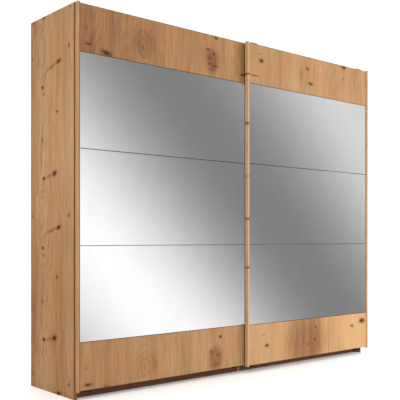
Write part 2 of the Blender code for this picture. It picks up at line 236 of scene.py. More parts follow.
# %% Lamps
# Each lamp: its name, its place, the point it is aimed at, its side and its watts. The two on the
# right make the right door's lower band the palest wood, and the left one lifts the side board.
LAMPS = (
    ("low_lamp_right", (2.2, -2.1, 0.45), (1.1, -0.3, 0.25), 0.6, 20),
    ("big_lamp_right", (3.6, -4.4, 2.2), (1.4, -0.3, 1.4), 2.6, 55),
    ("side_lamp_left", (-4.6, -1.1, 1.6), (-1.0, -0.2, 1.2), 1.4, 26),
)
for name, place, aim, side_length, watts in LAMPS:
    light = bpy.data.lights.new(name, "AREA")
    light.size = side_length
    light.energy = watts
    lamp = bpy.data.objects.new(name, light)
    bpy.context.scene.collection.objects.link(lamp)
    lamp.location = place
    lamp.rotation_euler = (Vector(aim) - Vector(place)).to_track_quat("-Z", "Y").to_euler()
    lamp.visible_glossy = False
    lamp.visible_camera = False
print(len(LAMPS), "lamps")

# %% [markdown]
# ## Knotty oak decor
# The boards are chipboard pressed with a printed oak decor: broad pale and dark streaks along the
# grain, arched figure where the print shows flat-sawn oak, fine pores, and dark knots with reddish
# rims. The figure is made from contour lines of a noise that is stretched along the grain, because
# contour lines close into arches just as year rings do on a flat-sawn board. The knots are placed one
# by one, since the eye knows a board by its knots, and the grain is pushed aside round each of them.
#
# A knot is (across, up, half width, half height, tilt in degrees, darkness), in metres on the board.
# Long flat ones are the cracks and dark veins that run between knots, and a darkness of 0 only bends
# the grain.

# %% How a knot darkens the board and bends its grain
KNOT_EDGE_WOBBLE = 11 * MM
WOBBLE_SIZE = 100 / 7 * MM
# A spot goes right through the board, so its third half size is as good as endless.
FAR = 1000.0
# What is left of a knot's darkness and of its pull on the grain at the knot's own edge.
DARK_AT_EDGE = 0.45
PULL_AT_EDGE = 0.86
# How far the grain moves aside, in half widths, and the rings' phase in radians for each radius.
GRAIN_PULL = 0.8
RING_PHASE = 8.0


def spot_on(tree, position, across, place, half_size, tilt=0):
    """Coordinates round one spot on the board, in which the spot's own edge is one away."""
    sideways, up = place
    half_width, half_height = half_size
    lean = math.radians(tilt)
    if across == "X":
        settings = ((sideways, 0, up), (0, lean, 0), (half_width, FAR, half_height))
    else:
        settings = ((0, sideways, up), (lean, 0, 0), (FAR, half_width, half_height))
    return node(
        tree,
        "Mapping",
        {"Vector": position, "Location": settings[0], "Rotation": settings[1], "Scale": settings[2]},
        vector_type="TEXTURE",
    ).outputs[0]


def knots_on(tree, position, across, knots):
    """Sockets for the knots' darkness, their push on the grain, and the rings round them."""
    along = {"X": Vector((1, 0, 0)), "Y": Vector((0, 1, 0))}[across]
    wobble = node(tree, "TexNoise", {"Vector": position, "Scale": 1 / WOBBLE_SIZE, "Detail": 2.0})
    centred = node(
        tree,
        "VectorMath",
        {0: wobble.outputs["Color"], 1: (0.5, 0.5, 0.5)},
        operation="SUBTRACT",
    )
    shaken = node(
        tree,
        "VectorMath",
        {0: centred.outputs[0], 1: (KNOT_EDGE_WOBBLE * 2,) * 3, 2: position},
        operation="MULTIPLY_ADD",
    ).outputs[0]
    darkness = 0.0
    push = 0.0
    rings = 0.0
    for sideways, up, half_width, half_height, tilt, depth in knots:
        local = spot_on(tree, shaken, across, (sideways, up), (half_width, half_height), tilt)
        square = node(tree, "VectorMath", {0: local, 1: local}, operation="DOT_PRODUCT")
        core = node(tree, "Math", {0: DARK_AT_EDGE, 1: square.outputs["Value"]}, operation="POWER")
        mark = node(tree, "Math", {0: core.outputs[0], 1: depth}, operation="MULTIPLY")
        darkest = node(tree, "Math", {0: mark.outputs[0], 1: darkness}, operation="MAXIMUM")
        darkness = darkest.outputs[0]
        reach = node(tree, "Math", {0: PULL_AT_EDGE, 1: square.outputs["Value"]}, operation="POWER")
        radius = node(tree, "VectorMath", {0: local}, operation="LENGTH")
        phase = node(tree, "Math", {0: radius.outputs["Value"], 1: RING_PHASE}, operation="MULTIPLY")
        wave = node(tree, "Math", {0: phase.outputs[0]}, operation="SINE")
        ring = node(
            tree,
            "Math",
            {0: wave.outputs[0], 1: reach.outputs[0], 2: rings},
            operation="MULTIPLY_ADD",
        )
        rings = ring.outputs[0]
        if half_width < 2 * half_height:
            side = node(tree, "VectorMath", {0: local, 1: along}, operation="DOT_PRODUCT")
            bend = node(
                tree,
                "Math",
                {0: side.outputs["Value"], 1: reach.outputs[0]},
                operation="MULTIPLY",
            )
            total = node(
                tree,
                "Math",
                {0: bend.outputs[0], 1: half_width * GRAIN_PULL, 2: push},
                operation="MULTIPLY_ADD",
            )
            push = total.outputs[0]
    return darkness, push, rings


print("knots can be placed")

# %% [markdown]
# ### How the print is built up
# A decor printer uses a few cylinders, one ink each: a base tone, streaks, pores and knots. The
# material does the same. A number from 0 for dark to 1 for pale is summed from streaks, figure, fine
# fibres and a tone of its own for each plank, and a ramp of five browns turns it to colour. Two faint
# tints drift over it, as heartwood and sapwood do, and the knots' rims and hearts go on last. One
# picture of oak could do it too, but it would repeat, and it couldn't be bent round each knot.

# %% The oak decor's measures and colours
STREAK = 45 * MM
FIGURE = 220 * MM
PLANK = 210 * MM
CLOUD = 160 * MM
# Oak's pores are about 0.2 mm wide. They are drawn as coarser bundles, or they would be lost at the
# size at which a whole wardrobe is seen.
FIBRE = 6 * MM
# Streaks are 22 times as long as wide. The figure is a quarter as long, and fibres twice as long.
ALONG = 1 / 22
FIGURE_LINES = 15.0
NOISE_ROUGHNESS = 0.55

# How strongly each part of the print moves the tone on the ramp.
STREAK_WEIGHT = 0.36
FIGURE_WEIGHT = 0.26
LINE_WEIGHT = 0.035
RING_WEIGHT = -0.055
FIBRE_WEIGHT = 0.44
PLANK_WEIGHT = 0.12

OAK_RAMP = [
    (0.00, "#7E5132"),
    (0.25, "#A2744A"),
    (0.50, "#BB8D62"),
    (0.75, "#C89C6F"),
    (1.00, "#D8AF84"),
]
GREENISH_TINT = "#F4FBF5"
ROSY_TINT = "#FAF6F2"
CLOUD_RANGE = (0.38, 0.62)
RIM_COLOUR = "#7A431B"
RIM_RANGE = (0.02, 0.50)
RIM_STRENGTH = 0.80
HEART_COLOUR = "#331204"
HEART_RANGE = (0.42, 0.95)
OAK_ROUGHNESS = (0.58, 0.42)
PRINT_RELIEF = 0.3 * MM
RELIEF_STRENGTH = 0.25
KNOT_SINK = -0.6
PATCH_AT_EDGE = 0.5
print("oak print", len(OAK_RAMP), "tones")

# %% Tone of the print: grain, planks, and patches of print tone and of painted light and shade
def repeated_along(tree, position, repeat):
    """The position with its Z wrapped, so that the same knots come again up the board."""
    period, first = repeat
    parts = node(tree, "SeparateXYZ", {0: position})
    wrapped = node(
        tree,
        "Math",
        {0: parts.outputs["Z"], 1: first + period, 2: first},
        operation="WRAP",
    )
    joined = node(
        tree,
        "CombineXYZ",
        {"X": parts.outputs["X"], "Y": parts.outputs["Y"], "Z": wrapped.outputs[0]},
    )
    return joined.outputs[0]


def grain_noise(tree, position, width, stretch, detail):
    """Noise of a given width across the board, drawn out along the grain."""
    sized = node(
        tree,
        "Mapping",
        {"Vector": position, "Scale": (1 / width, 1 / width, stretch / width)},
    )
    texture = node(
        tree,
        "TexNoise",
        {"Vector": sized.outputs[0], "Scale": 1.0, "Detail": detail, "Roughness": NOISE_ROUGHNESS},
    )
    return texture.outputs[0]


def print_tone(tree, bent, across, rings, fibres, shade, patches):
    """The place on the ramp, from 0 for dark to 1 for pale, at each point of the bent grain."""
    streaks = grain_noise(tree, bent, STREAK, ALONG, 3.0)
    figure = grain_noise(tree, bent, FIGURE, ALONG * 4, 2.0)
    contour = node(tree, "Math", {0: figure, 1: FIGURE_LINES * math.tau}, operation="MULTIPLY")
    lines = node(tree, "Math", {0: contour.outputs[0]}, operation="SINE")
    parts = node(tree, "SeparateXYZ", {0: bent})
    plank = node(tree, "Math", {0: parts.outputs[across], 1: PLANK}, operation="DIVIDE")
    number = node(tree, "Math", {0: plank.outputs[0]}, operation="FLOOR")
    tone = node(tree, "TexWhiteNoise", {"W": number.outputs[0]}, noise_dimensions="1D")

    value = 0.5 + shade
    for part, middle, weight in (
        (streaks, 0.5, STREAK_WEIGHT),
        (figure, 0.5, FIGURE_WEIGHT),
        (lines.outputs[0], 0.0, LINE_WEIGHT),
        (rings, 0.0, RING_WEIGHT),
        (fibres, 0.5, FIBRE_WEIGHT),
        (tone.outputs["Value"], 0.5, PLANK_WEIGHT),
    ):
        centred = node(tree, "Math", {0: part, 1: middle}, operation="SUBTRACT")
        added = node(
            tree,
            "Math",
            {0: centred.outputs[0], 1: weight, 2: value},
            operation="MULTIPLY_ADD",
        )
        value = added.outputs[0]
    for sideways, up, half_width, half_height, change in patches:
        local = spot_on(tree, bent, across, (sideways, up), (half_width, half_height))
        square = node(tree, "VectorMath", {0: local, 1: local}, operation="DOT_PRODUCT")
        steep = node(
            tree,
            "Math",
            {0: square.outputs["Value"], 1: square.outputs["Value"]},
            operation="MULTIPLY",
        )
        fade = node(tree, "Math", {0: PATCH_AT_EDGE, 1: steep.outputs[0]}, operation="POWER")
        added = node(
            tree,
            "Math",
            {0: fade.outputs[0], 1: change, 2: value},
            operation="MULTIPLY_ADD",
        )
        value = added.outputs[0]
    return value


print("tone ready")

# %% Colour of the print, and the whole material
def print_colour(tree, position, value, darkness):
    """The ramp's colour, clouded greenish and rosy, with the knots' rims and hearts laid over it."""
    ramp = node(tree, "ValToRGB", {"Fac": value}, stops=OAK_RAMP)
    cloud = node(tree, "TexNoise", {"Vector": position, "Scale": 1 / CLOUD, "Detail": 3.0})
    low_end, high_end = CLOUD_RANGE
    rosy = node(
        tree,
        "MapRange",
        {"Value": cloud.outputs[0], "From Min": low_end, "From Max": high_end},
    )
    tint = node(
        tree,
        "Mix",
        {0: rosy.outputs[0], 6: linear(GREENISH_TINT), 7: linear(ROSY_TINT)},
        data_type="RGBA",
    )
    colour = node(
        tree,
        "Mix",
        {0: 1.0, 6: ramp.outputs[0], 7: tint.outputs[2]},
        data_type="RGBA",
        blend_type="MULTIPLY",
    )
    for (low_end, high_end), strength, shade_hex in (
        (RIM_RANGE, RIM_STRENGTH, RIM_COLOUR),
        (HEART_RANGE, 1.0, HEART_COLOUR),
    ):
        amount = node(
            tree,
            "MapRange",
            {"Value": darkness, "From Min": low_end, "From Max": high_end, "To Max": strength},
        )
        colour = node(
            tree,
            "Mix",
            {0: amount.outputs[0], 6: colour.outputs[2], 7: linear(shade_hex)},
            data_type="RGBA",
        )
    return colour.outputs[2]


def oak_decor(name, knots=(), across="X", grain="Z", repeat=None, shade=0.0, patches=()):
    """Satin printed oak. The board's own grain runs along Z or X."""
    material, tree, shader = new_material(name, Roughness=0.5, IOR=1.5, Specular_IOR_Level=0.3)
    position = node(tree, "TexCoord").outputs["Object"]
    if grain == "X":
        turned = node(tree, "Mapping", {"Vector": position, "Rotation": (0, math.radians(90), 0)})
        position = turned.outputs[0]
    knot_place = repeated_along(tree, position, repeat) if repeat else position
    darkness, push, rings = knots_on(tree, knot_place, across, knots)
    shift = node(tree, "CombineXYZ", {across: push})
    bent = node(tree, "VectorMath", {0: position, 1: shift.outputs[0]}, operation="SUBTRACT")
    bent = bent.outputs[0]
    fibres = grain_noise(tree, bent, FIBRE, ALONG / 2, 2.0)
    value = print_tone(tree, bent, across, rings, fibres, shade, patches)
    colour = print_colour(tree, position, value, darkness)
    tree.links.new(colour, shader.inputs["Base Color"])
    dull, glossy = OAK_ROUGHNESS
    rough = node(tree, "MapRange", {"Value": fibres, "To Min": dull, "To Max": glossy})
    tree.links.new(rough.outputs[0], shader.inputs["Roughness"])
    relief = node(tree, "Math", {0: darkness, 1: KNOT_SINK, 2: fibres}, operation="MULTIPLY_ADD")
    bump = node(
        tree,
        "Bump",
        {"Strength": RELIEF_STRENGTH, "Distance": PRINT_RELIEF, "Height": relief.outputs[0]},
    )
    tree.links.new(bump.outputs[0], shader.inputs["Normal"])
    return material


print("oak decor ready")

# %% [markdown]
# ### Where the knots are
# A saw cuts each board from another length of the print. Here both side boards share one list of
# knots, because they are a pair, each door has one for its two bands, and the boards inside have one
# knot each, since little of them is seen. The bands are wide and low and their grain stands upright,
# so each shows only short pieces of the figure between its knots.

# %% Knots of the side boards
# The print comes from a cylinder, so its knots come again after its period. (period, start)
DECOR_REPEAT = (0.99, 0.215)

SIDE_KNOTS = [
    (-0.050, 0.999, 0.024, 0.012, -14, 1.00),
    (0.030, 0.982, 0.070, 0.009, -14, 0.50),
    (0.112, 0.950, 0.010, 0.050, 20, 0.35),
    (0.149, 0.873, 0.012, 0.010, 0, 1.00),
    (0.135, 0.828, 0.018, 0.008, 0, 0.50),
    (-0.030, 0.702, 0.012, 0.008, 0, 0.75),
    (0.155, 0.560, 0.007, 0.120, 6, 0.42),
    (0.168, 0.440, 0.007, 0.070, -2, 0.45),
    (0.149, 0.544, 0.009, 0.008, 0, 0.85),
    (0.002, 0.334, 0.026, 0.014, -12, 1.00),
    (0.066, 0.322, 0.045, 0.008, -10, 0.42),
    (0.132, 0.310, 0.016, 0.010, 0, 0.95),
    (0.150, 0.232, 0.010, 0.008, 0, 0.55),
    (0.140, 0.270, 0.006, 0.040, 0, 0.35),
    (0.160, 1.100, 0.050, 0.100, 0, 0.00),
    (0.283, 1.072, 0.009, 0.008, 0, 0.70),
    (-0.170, 1.069, 0.010, 0.010, 0, 0.70),
]
print(len(SIDE_KNOTS), "knots on each length of side board")

# %% Knots of the door bands and edge profiles
LEFT_DOOR_KNOTS = [
    (-0.875, 2.105, 0.035, 0.060, 0, 0.0),
    (-0.861, 0.140, 0.035, 0.055, 0, 0.0),
    (-1.264, 2.060, 0.022, 0.010, 0, 0.80),
    (-1.277, 2.153, 0.012, 0.007, 0, 0.40),
    (-1.138, 2.027, 0.036, 0.014, 12, 1.00),
    (-0.276, 2.274, 0.015, 0.009, 0, 0.90),
    (-0.345, 2.186, 0.016, 0.010, 0, 0.70),
    (-0.294, 2.164, 0.012, 0.009, 0, 0.90),
    (-0.335, 2.130, 0.016, 0.012, 0, 0.60),
    (-0.330, 2.095, 0.020, 0.010, 0, 0.75),
    (-0.285, 2.085, 0.024, 0.010, 0, 0.75),
    (-0.310, 2.060, 0.026, 0.008, 0, 0.50),
    (-0.028, 2.063, 0.026, 0.008, 0, 0.85),
    (-1.268, 0.084, 0.024, 0.009, 0, 0.85),
    (-1.281, 0.182, 0.012, 0.007, 0, 0.35),
    (-1.141, 0.060, 0.024, 0.008, 0, 0.45),
    (-0.236, 0.273, 0.012, 0.008, 0, 0.90),
    (-0.316, 0.178, 0.012, 0.010, 0, 0.70),
    (-0.253, 0.155, 0.012, 0.009, 0, 0.70),
    (-0.270, 0.090, 0.034, 0.010, 0, 0.50),
]
RIGHT_DOOR_KNOTS = [
    (0.118, 2.179, 0.020, 0.011, 0, 0.95),
    (0.100, 2.225, 0.016, 0.008, 0, 0.35),
    (0.050, 2.068, 0.040, 0.006, 0, 0.65),
    (0.624, 2.282, 0.013, 0.006, 0, 0.45),
    (0.607, 2.200, 0.015, 0.009, 0, 0.90),
    (0.535, 2.151, 0.012, 0.024, 0, 0.35),
    (0.644, 2.092, 0.022, 0.010, 0, 0.90),
    (1.037, 2.279, 0.024, 0.013, 0, 0.95),
    (1.030, 2.185, 0.012, 0.009, 0, 0.45),
    (0.176, 0.177, 0.015, 0.010, 0, 0.95),
    (0.144, 0.253, 0.014, 0.008, 0, 0.35),
    (0.704, 0.264, 0.014, 0.009, 0, 0.75),
    (0.686, 0.175, 0.014, 0.010, 0, 0.85),
    (0.618, 0.144, 0.020, 0.012, 0, 0.55),
    (1.138, 0.240, 0.016, 0.010, 0, 0.75),
    (1.268, 0.272, 0.032, 0.018, 0, 0.95),
]
EDGE_KNOTS = [
    (-0.014, 2.068, 0.030, 0.007, 0, 0.70),
    (-0.014, 1.728, 0.020, 0.008, 0, 0.70),
    (-0.014, 1.363, 0.020, 0.006, 0, 0.35),
    (-0.014, 1.070, 0.020, 0.008, 0, 0.70),
    (-0.014, 0.732, 0.020, 0.008, 0, 0.60),
]
print(len(LEFT_DOOR_KNOTS) + len(RIGHT_DOOR_KNOTS), "knots on the doors")

# %% Darker and paler patches
# A patch is (across, up, half width, half height, change): a darker or paler cloud on the board.
# Very wide or very high ones reach across a whole board from one end to the other. Some are clouds
# in the print, and those marked below are painted light and shade.
SIDE_PATCHES = [
    # Darker towards the bottom and towards the top of the side board.
    (0.000, 0.200, 3.000, 0.850, -0.13),
    (0.000, 2.300, 3.000, 0.500, -0.09),
    (-0.230, 1.150, 0.100, 3.000, 0.06),
    (0.100, 1.150, 0.050, 3.000, 0.05),
    (0.270, 1.150, 0.060, 3.000, -0.05),
]
LEFT_DOOR_PATCHES = [
    # Painted shade: the upper band is a little darker all along, as less of the lamps' light reaches
    # it.
    (0.000, 2.200, 9.000, 0.300, -0.07),
    (-0.310, 2.110, 0.050, 0.080, -0.30),
    (-0.280, 0.130, 0.050, 0.080, -0.26),
    (-0.060, 2.150, 0.080, 0.200, -0.10),
    (-0.870, 2.130, 0.060, 0.080, -0.12),
    (-0.860, 0.150, 0.060, 0.080, -0.12),
    (-1.270, 2.100, 0.050, 0.200, -0.10),
    # Painted shade: the door's left end, furthest from the lamps on the right, is darker.
    (-1.200, 1.200, 0.450, 3.000, -0.20),
]
RIGHT_DOOR_PATCHES = [
    # Painted shadow: a soft shadow lies across the middle of the lower band.
    (0.600, 0.190, 0.200, 0.220, -0.50),
    (0.620, 2.150, 0.100, 0.140, -0.06),
    # Painted light and shade from the low lamps on the right: the upper band darker all along, the
    # lower band paler, and its right end palest.
    (0.000, 2.200, 9.000, 0.300, -0.05),
    (0.000, 0.150, 9.000, 0.300, 0.09),
    (1.140, 0.190, 0.160, 0.200, 0.08),
]
# The side board's front edge is in the shade of the gap beside the door, and so is the inner corner of
# the left door's outer profile. Each is drawn as a narrow dark patch as high as the board.
HALF_UP = 1.150
board_edge = (side_low.y, HALF_UP, 6 * MM, 3.000, -0.90)
low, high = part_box("left_door_profile_left")
profile_corner = (high.x, HALF_UP, 5 * MM, 3.000, -0.80)
print("patches ready")

# %% Oak for each kind of board
# Melamine-faced chipboard, printed in knotty oak. The edge profiles are solid strips wrapped in the
# same print. It is set paler on them, as painted light on their lit narrow sides, and the left door's
# outer one is set darker and without knots, as painted shade at that end.
INNER_KNOTS = [(0.200, 1.300, 0.020, 0.012, 0, 0.80)]
INNER_REPEAT = (0.70, 0.10)
SHELF_KNOTS = [(0.100, 0.500, 0.020, 0.012, 0, 0.80)]

side_oak = oak_decor(
    "printed_oak_side_board",
    SIDE_KNOTS,
    "Y",
    repeat=DECOR_REPEAT,
    shade=-0.05,
    patches=SIDE_PATCHES + [board_edge],
)
# The left door is set a little darker than the right one: painted shade, the lamps being on the right.
left_oak = oak_decor(
    "printed_oak_left_door", LEFT_DOOR_KNOTS, "X", shade=-0.04, patches=LEFT_DOOR_PATCHES
)
right_oak = oak_decor("printed_oak_right_door", RIGHT_DOOR_KNOTS, "X", patches=RIGHT_DOOR_PATCHES)
edge_oak = oak_decor("printed_oak_edge_profile", EDGE_KNOTS, "X", shade=0.28)
left_edge_oak = oak_decor(
    "printed_oak_outer_profile", (), "X", shade=-0.10, patches=[profile_corner]
)
inner_oak = oak_decor("printed_oak_inner_board", INNER_KNOTS, "Y", repeat=INNER_REPEAT)
flat_oak = oak_decor("printed_oak_shelf_board", SHELF_KNOTS, "Y", grain="X")
print("seven oaks ready")

# %% [markdown]
# ## Mirror, metal, plastic and hardboard
# The mirror is float glass silvered on its back: nearly all light comes back. Its roughness is close
# to zero and only a breath of haze from wiping varies it.
#
# Everything else is one kind of mottle in colour, gloss and height, and the way the thing was made
# sets its scale and direction. A drawn rail has lines along X, plated sheet has a soft crystal
# mottle, and powder coat has a fine grain.

# %% Mirror glass
WIPE = 120 * MM
HAZE_ROUGHNESS = (0.006, 0.016)


def mirror_glass():
    """Silvered float glass, wiped by hand."""
    material, tree, shader = new_material("silvered_mirror_glass", Metallic=1.0)
    source = node(tree, "TexCoord").outputs["Object"]
    haze = node(tree, "TexNoise", {"Vector": source, "Scale": 1 / WIPE, "Detail": 3.0})
    clean, wiped = HAZE_ROUGHNESS
    rough = node(tree, "MapRange", {"Value": haze.outputs[0], "To Min": clean, "To Max": wiped})
    tree.links.new(rough.outputs[0], shader.inputs["Roughness"])
    tint = node(
        tree,
        "ValToRGB",
        {"Fac": haze.outputs[0]},
        stops=[(0.3, "#F0F0F1"), (0.7, "#F3F3F3")],
    )
    tree.links.new(tint.outputs[0], shader.inputs["Base Color"])
    return material


mirror = mirror_glass()
print("mirror ready")

# %% One function for every mottled finish
METAL_RELIEF = 0.1 * MM
PLAIN_RELIEF = 0.2 * MM


def mottled(name, light, dark, grain_mm, matt, relief, stretch=1.0, detail=4.0, metal=False):
    """Mottle in colour, roughness and height, drawn out along X by a stretch below 1."""
    material, tree, shader = new_material(name, IOR=1.5, Metallic=float(metal))
    source = node(tree, "TexCoord").outputs["Object"]
    size = grain_mm * MM
    sized = node(
        tree,
        "Mapping",
        {"Vector": source, "Scale": (stretch / size, 1 / size, 1 / size)},
    )
    noise = node(tree, "TexNoise", {"Vector": sized.outputs[0], "Scale": 1.0, "Detail": detail})
    colour = node(tree, "ValToRGB", {"Fac": noise.outputs[0]}, stops=[(0.3, dark), (0.7, light)])
    smooth, coarse = matt
    rough = node(tree, "MapRange", {"Value": noise.outputs[0], "To Min": smooth, "To Max": coarse})
    depth = METAL_RELIEF if metal else PLAIN_RELIEF
    bump = node(tree, "Bump", {"Strength": relief, "Distance": depth, "Height": noise.outputs[0]})
    tree.links.new(colour.outputs[0], shader.inputs["Base Color"])
    tree.links.new(rough.outputs[0], shader.inputs["Roughness"])
    tree.links.new(bump.outputs[0], shader.inputs["Normal"])
    return material


print("mottle ready")

# %% Metals
DRAWN = 0.02
METAL = {"detail": 3.0, "metal": True}

# Extruded aluminium, anodised natural: fine die lines run along the rail.
rail_metal = mottled(
    "anodised_aluminium_rail", "#C9CACC", "#AEB0B3", 0.8, (0.28, 0.42), 0.2, DRAWN, **METAL
)
# Rolled aluminium strip, anodised darker, for the joints between mirror panes.
seam_metal = mottled(
    "satin_joint_strip", "#8C8D90", "#6E7073", 0.6, (0.30, 0.45), 0.1, DRAWN, **METAL
)
# Pressed steel, electroplated with zinc: hangers, screws and nails.
zinc_metal = mottled("zinc_plated_steel", "#C4C6C6", "#9DA0A3", 6.0, (0.25, 0.45), 0.1, **METAL)
# Oval steel tube, plated with chrome over nickel: only a trace of waviness is left.
chrome_metal = mottled(
    "chrome_plated_tube", "#DCDDDE", "#D2D3D5", 20.0, (0.05, 0.09), 0.02, **METAL
)
print("four metals ready")

# %% Powder coat, nylon, rubber, boards and plastics
# Polyester powder coat, fine structure, on the pressed guide brackets.
black_coat = mottled("black_powder_coated_steel", "#2B2420", "#1C1714", 0.8, (0.5, 0.65), 0.4)
# Injection-moulded polyamide, for the rollers.
nylon = mottled("moulded_nylon", "#E4E0D4", "#D6D1C3", 2.5, (0.4, 0.5), 0.1)
# Moulded rubber, for the end stops.
rubber = mottled("moulded_rubber", "#26262A", "#17171A", 1.0, (0.75, 0.9), 0.3)
# Hardboard, roller-lacquered to go with the oak: pressed fibre clouds under a thin coat.
hardboard = mottled(
    "lacquered_hardboard", "#D5B993", "#CAAC85", 25.0, (0.5, 0.65), 0.4, detail=8.0
)
# Chipboard with its streaks along the plinth. Its dark brown is painted shade: the plinth stands
# back under the doors, in their deep shade.
plinth_board = mottled(
    "dark_brown_plinth_board", "#6E3F18", "#4C280C", 9.0, (0.6, 0.7), 0.2, stretch=0.05
)
# Chipboard with a plain balancing paper, on the backs of the doors.
core_board = mottled("door_back_board", "#C8A176", "#BB9166", 25.0, (0.5, 0.6), 0.4, detail=7.0)
# Extruded plastic, for the strips that join the back.
beige_plastic = mottled("beige_extruded_plastic", "#C9AC84", "#B89A70", 3.0, (0.35, 0.45), 0.1)
# Moulded plastic, for caps, for the dark strip on each band's top, and for the dark strips at the
# mirrors, which are painted shade.
brown_plastic = mottled("brown_cover_cap_plastic", "#5A3A22", "#442814", 2.0, (0.4, 0.5), 0.1)
# Woven nylon pile, for the dust brushes: its tufts stand across the strip. Its dark brown is also
# painted shade for the gap beside each edge profile.
brush_pile = mottled(
    "brown_nylon_brush_pile", "#4A2A12", "#2C1606", 0.9, (0.8, 0.95), 0.8, stretch=6.0
)
print("plain finishes ready")

# %% [markdown]
# ## Which finish goes where
# A fitter sorts the parts before the work starts: boards, mirrors, rails, hangers and small parts.
# The names of the frame's parts say what they are, so a short table does the sorting.

# %% Give each board and fitting its finish
# The first word that is found in a node's name gives its finish.
FINISHES = (
    ("left_door_band", left_oak),
    ("right_door_band", right_oak),
    ("left_door_profile_left", left_edge_oak),
    ("_profile_", edge_oak),
    ("side_panel", side_oak),
    ("centre_partition", inner_oak),
    ("plinth", plinth_board),
    ("_panel_", flat_oak),
    ("shelf", flat_oak),
    ("back_sheet", hardboard),
    ("_core", core_board),
    ("_mirror_", mirror),
    ("_seam_strip_", seam_metal),
    ("clothes_rail", chrome_metal),
    ("rail_socket", chrome_metal),
    ("_rail", rail_metal),
    ("_hanger_", zinc_metal),
    ("_guide_", black_coat),
    ("_roller_", nylon),
    ("end_stop", rubber),
)
# The left mirror lies behind the right door, and would show that door's edge a second time. So of the
# right door only the outer profile is seen in reflections.
SEEN_IN_MIRRORS = "right_door_profile_right"

for name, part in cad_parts.items():
    part.material_slots[0].material = next(finish for key, finish in FINISHES if key in name)
    part.visible_glossy = name == SEEN_IN_MIRRORS or not name.startswith("right_door")
print(len(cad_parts), "nodes finished")

# %% [markdown]
# ## Seals and dark strips
# Small strips finish a sliding door. A brown brush on the back of each edge profile keeps dust out
# of the gap behind it, and its dark pile is also painted shade for that gap. A thin dark strip in the
# corner where a wood band meets the mirror is painted shade of the gap there, and a thin dark brown
# strip runs along each band's top edge. Each could be a stretched box, but the brush shows its holder
# and its pile when a door stands open, so it is inset and extruded from a block.

# %% Small modelling helpers
def deselect():
    """Clears the selection before anything new is made."""
    bpy.ops.object.select_all(action="DESELECT")


def block(name, low, high):
    """A box between two corners, with its place in its mesh."""
    deselect()
    low = Vector(low)
    high = Vector(high)
    bpy.ops.mesh.primitive_cube_add(size=1, location=(low + high) / 2)
    piece = bpy.context.object
    piece.name = name
    piece.scale = high - low
    bpy.ops.object.transform_apply(location=True, rotation=True, scale=True)
    return piece


def rounded(piece, width):
    """Rounds the sharp edges with an applied Bevel."""
    bevel = piece.modifiers.new("edge", "BEVEL")
    bevel.width = width
    bevel.segments = 2
    bevel.limit_method = "ANGLE"
    bpy.context.view_layer.objects.active = piece
    bpy.ops.object.modifier_apply(modifier="edge")
    return piece


def looks_along(direction):
    """A test for faces that look along an axis."""
    return lambda centre, normal: normal.dot(Vector(direction)) > 0.9


def edit_faces(piece, chosen):
    """Goes to edit mode with just the faces that the test chooses, by centre and normal."""
    deselect()
    piece.select_set(True)
    bpy.context.view_layer.objects.active = piece
    bpy.ops.object.mode_set(mode="EDIT")
    bpy.ops.mesh.select_mode(type="FACE")
    bpy.ops.mesh.select_all(action="DESELECT")
    bpy.ops.object.mode_set(mode="OBJECT")
    for face in piece.data.polygons:
        face.select = chosen(face.center, face.normal)
    bpy.ops.object.mode_set(mode="EDIT")


def fitted(piece, body, finish):
    """Gives a piece its finish and the body that carries it."""
    if bpy.context.mode != "OBJECT":
        bpy.ops.object.mode_set(mode="OBJECT")
    piece.data.materials.clear()
    piece.data.materials.append(finish)
    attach(piece, body)
    return piece


print("modelling helpers ready")

# %% Dust brushes behind the edge profiles
BRUSH_WIDTH = 6 * MM
BRUSH_INSET = 1.2 * MM
BRUSH_SIDE = 0.3 * MM
BRUSH_END = 12 * MM
HOLDER = 2 * MM
# The rear door's brush ends just short of the carcass, and the front door's of the rear door.
BRUSH_REACH = {"left_door": 7.5 * MM, "right_door": 5.4 * MM}

for door in ("left_door", "right_door"):
    for label in ("left", "right"):
        low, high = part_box(f"{door}_profile_{label}")
        start = low.x + BRUSH_SIDE if label == "left" else high.x - BRUSH_SIDE - BRUSH_WIDTH
        brush = block(
            f"{door}_dust_brush_{label}",
            (start, high.y, low.z + BRUSH_END),
            (start + BRUSH_WIDTH, high.y + HOLDER, high.z - BRUSH_END),
        )
        edit_faces(brush, looks_along((0, 1, 0)))
        bpy.ops.mesh.inset(thickness=BRUSH_INSET)
        bpy.ops.mesh.extrude_region_move(
            TRANSFORM_OT_translate={"value": (0, BRUSH_REACH[door] - HOLDER, 0)}
        )
        # Its dark pile is also painted shade in the gap beside the profile.
        fitted(brush, door, brush_pile)
        brush.visible_glossy = door == "left_door"
print("4 dust brushes")

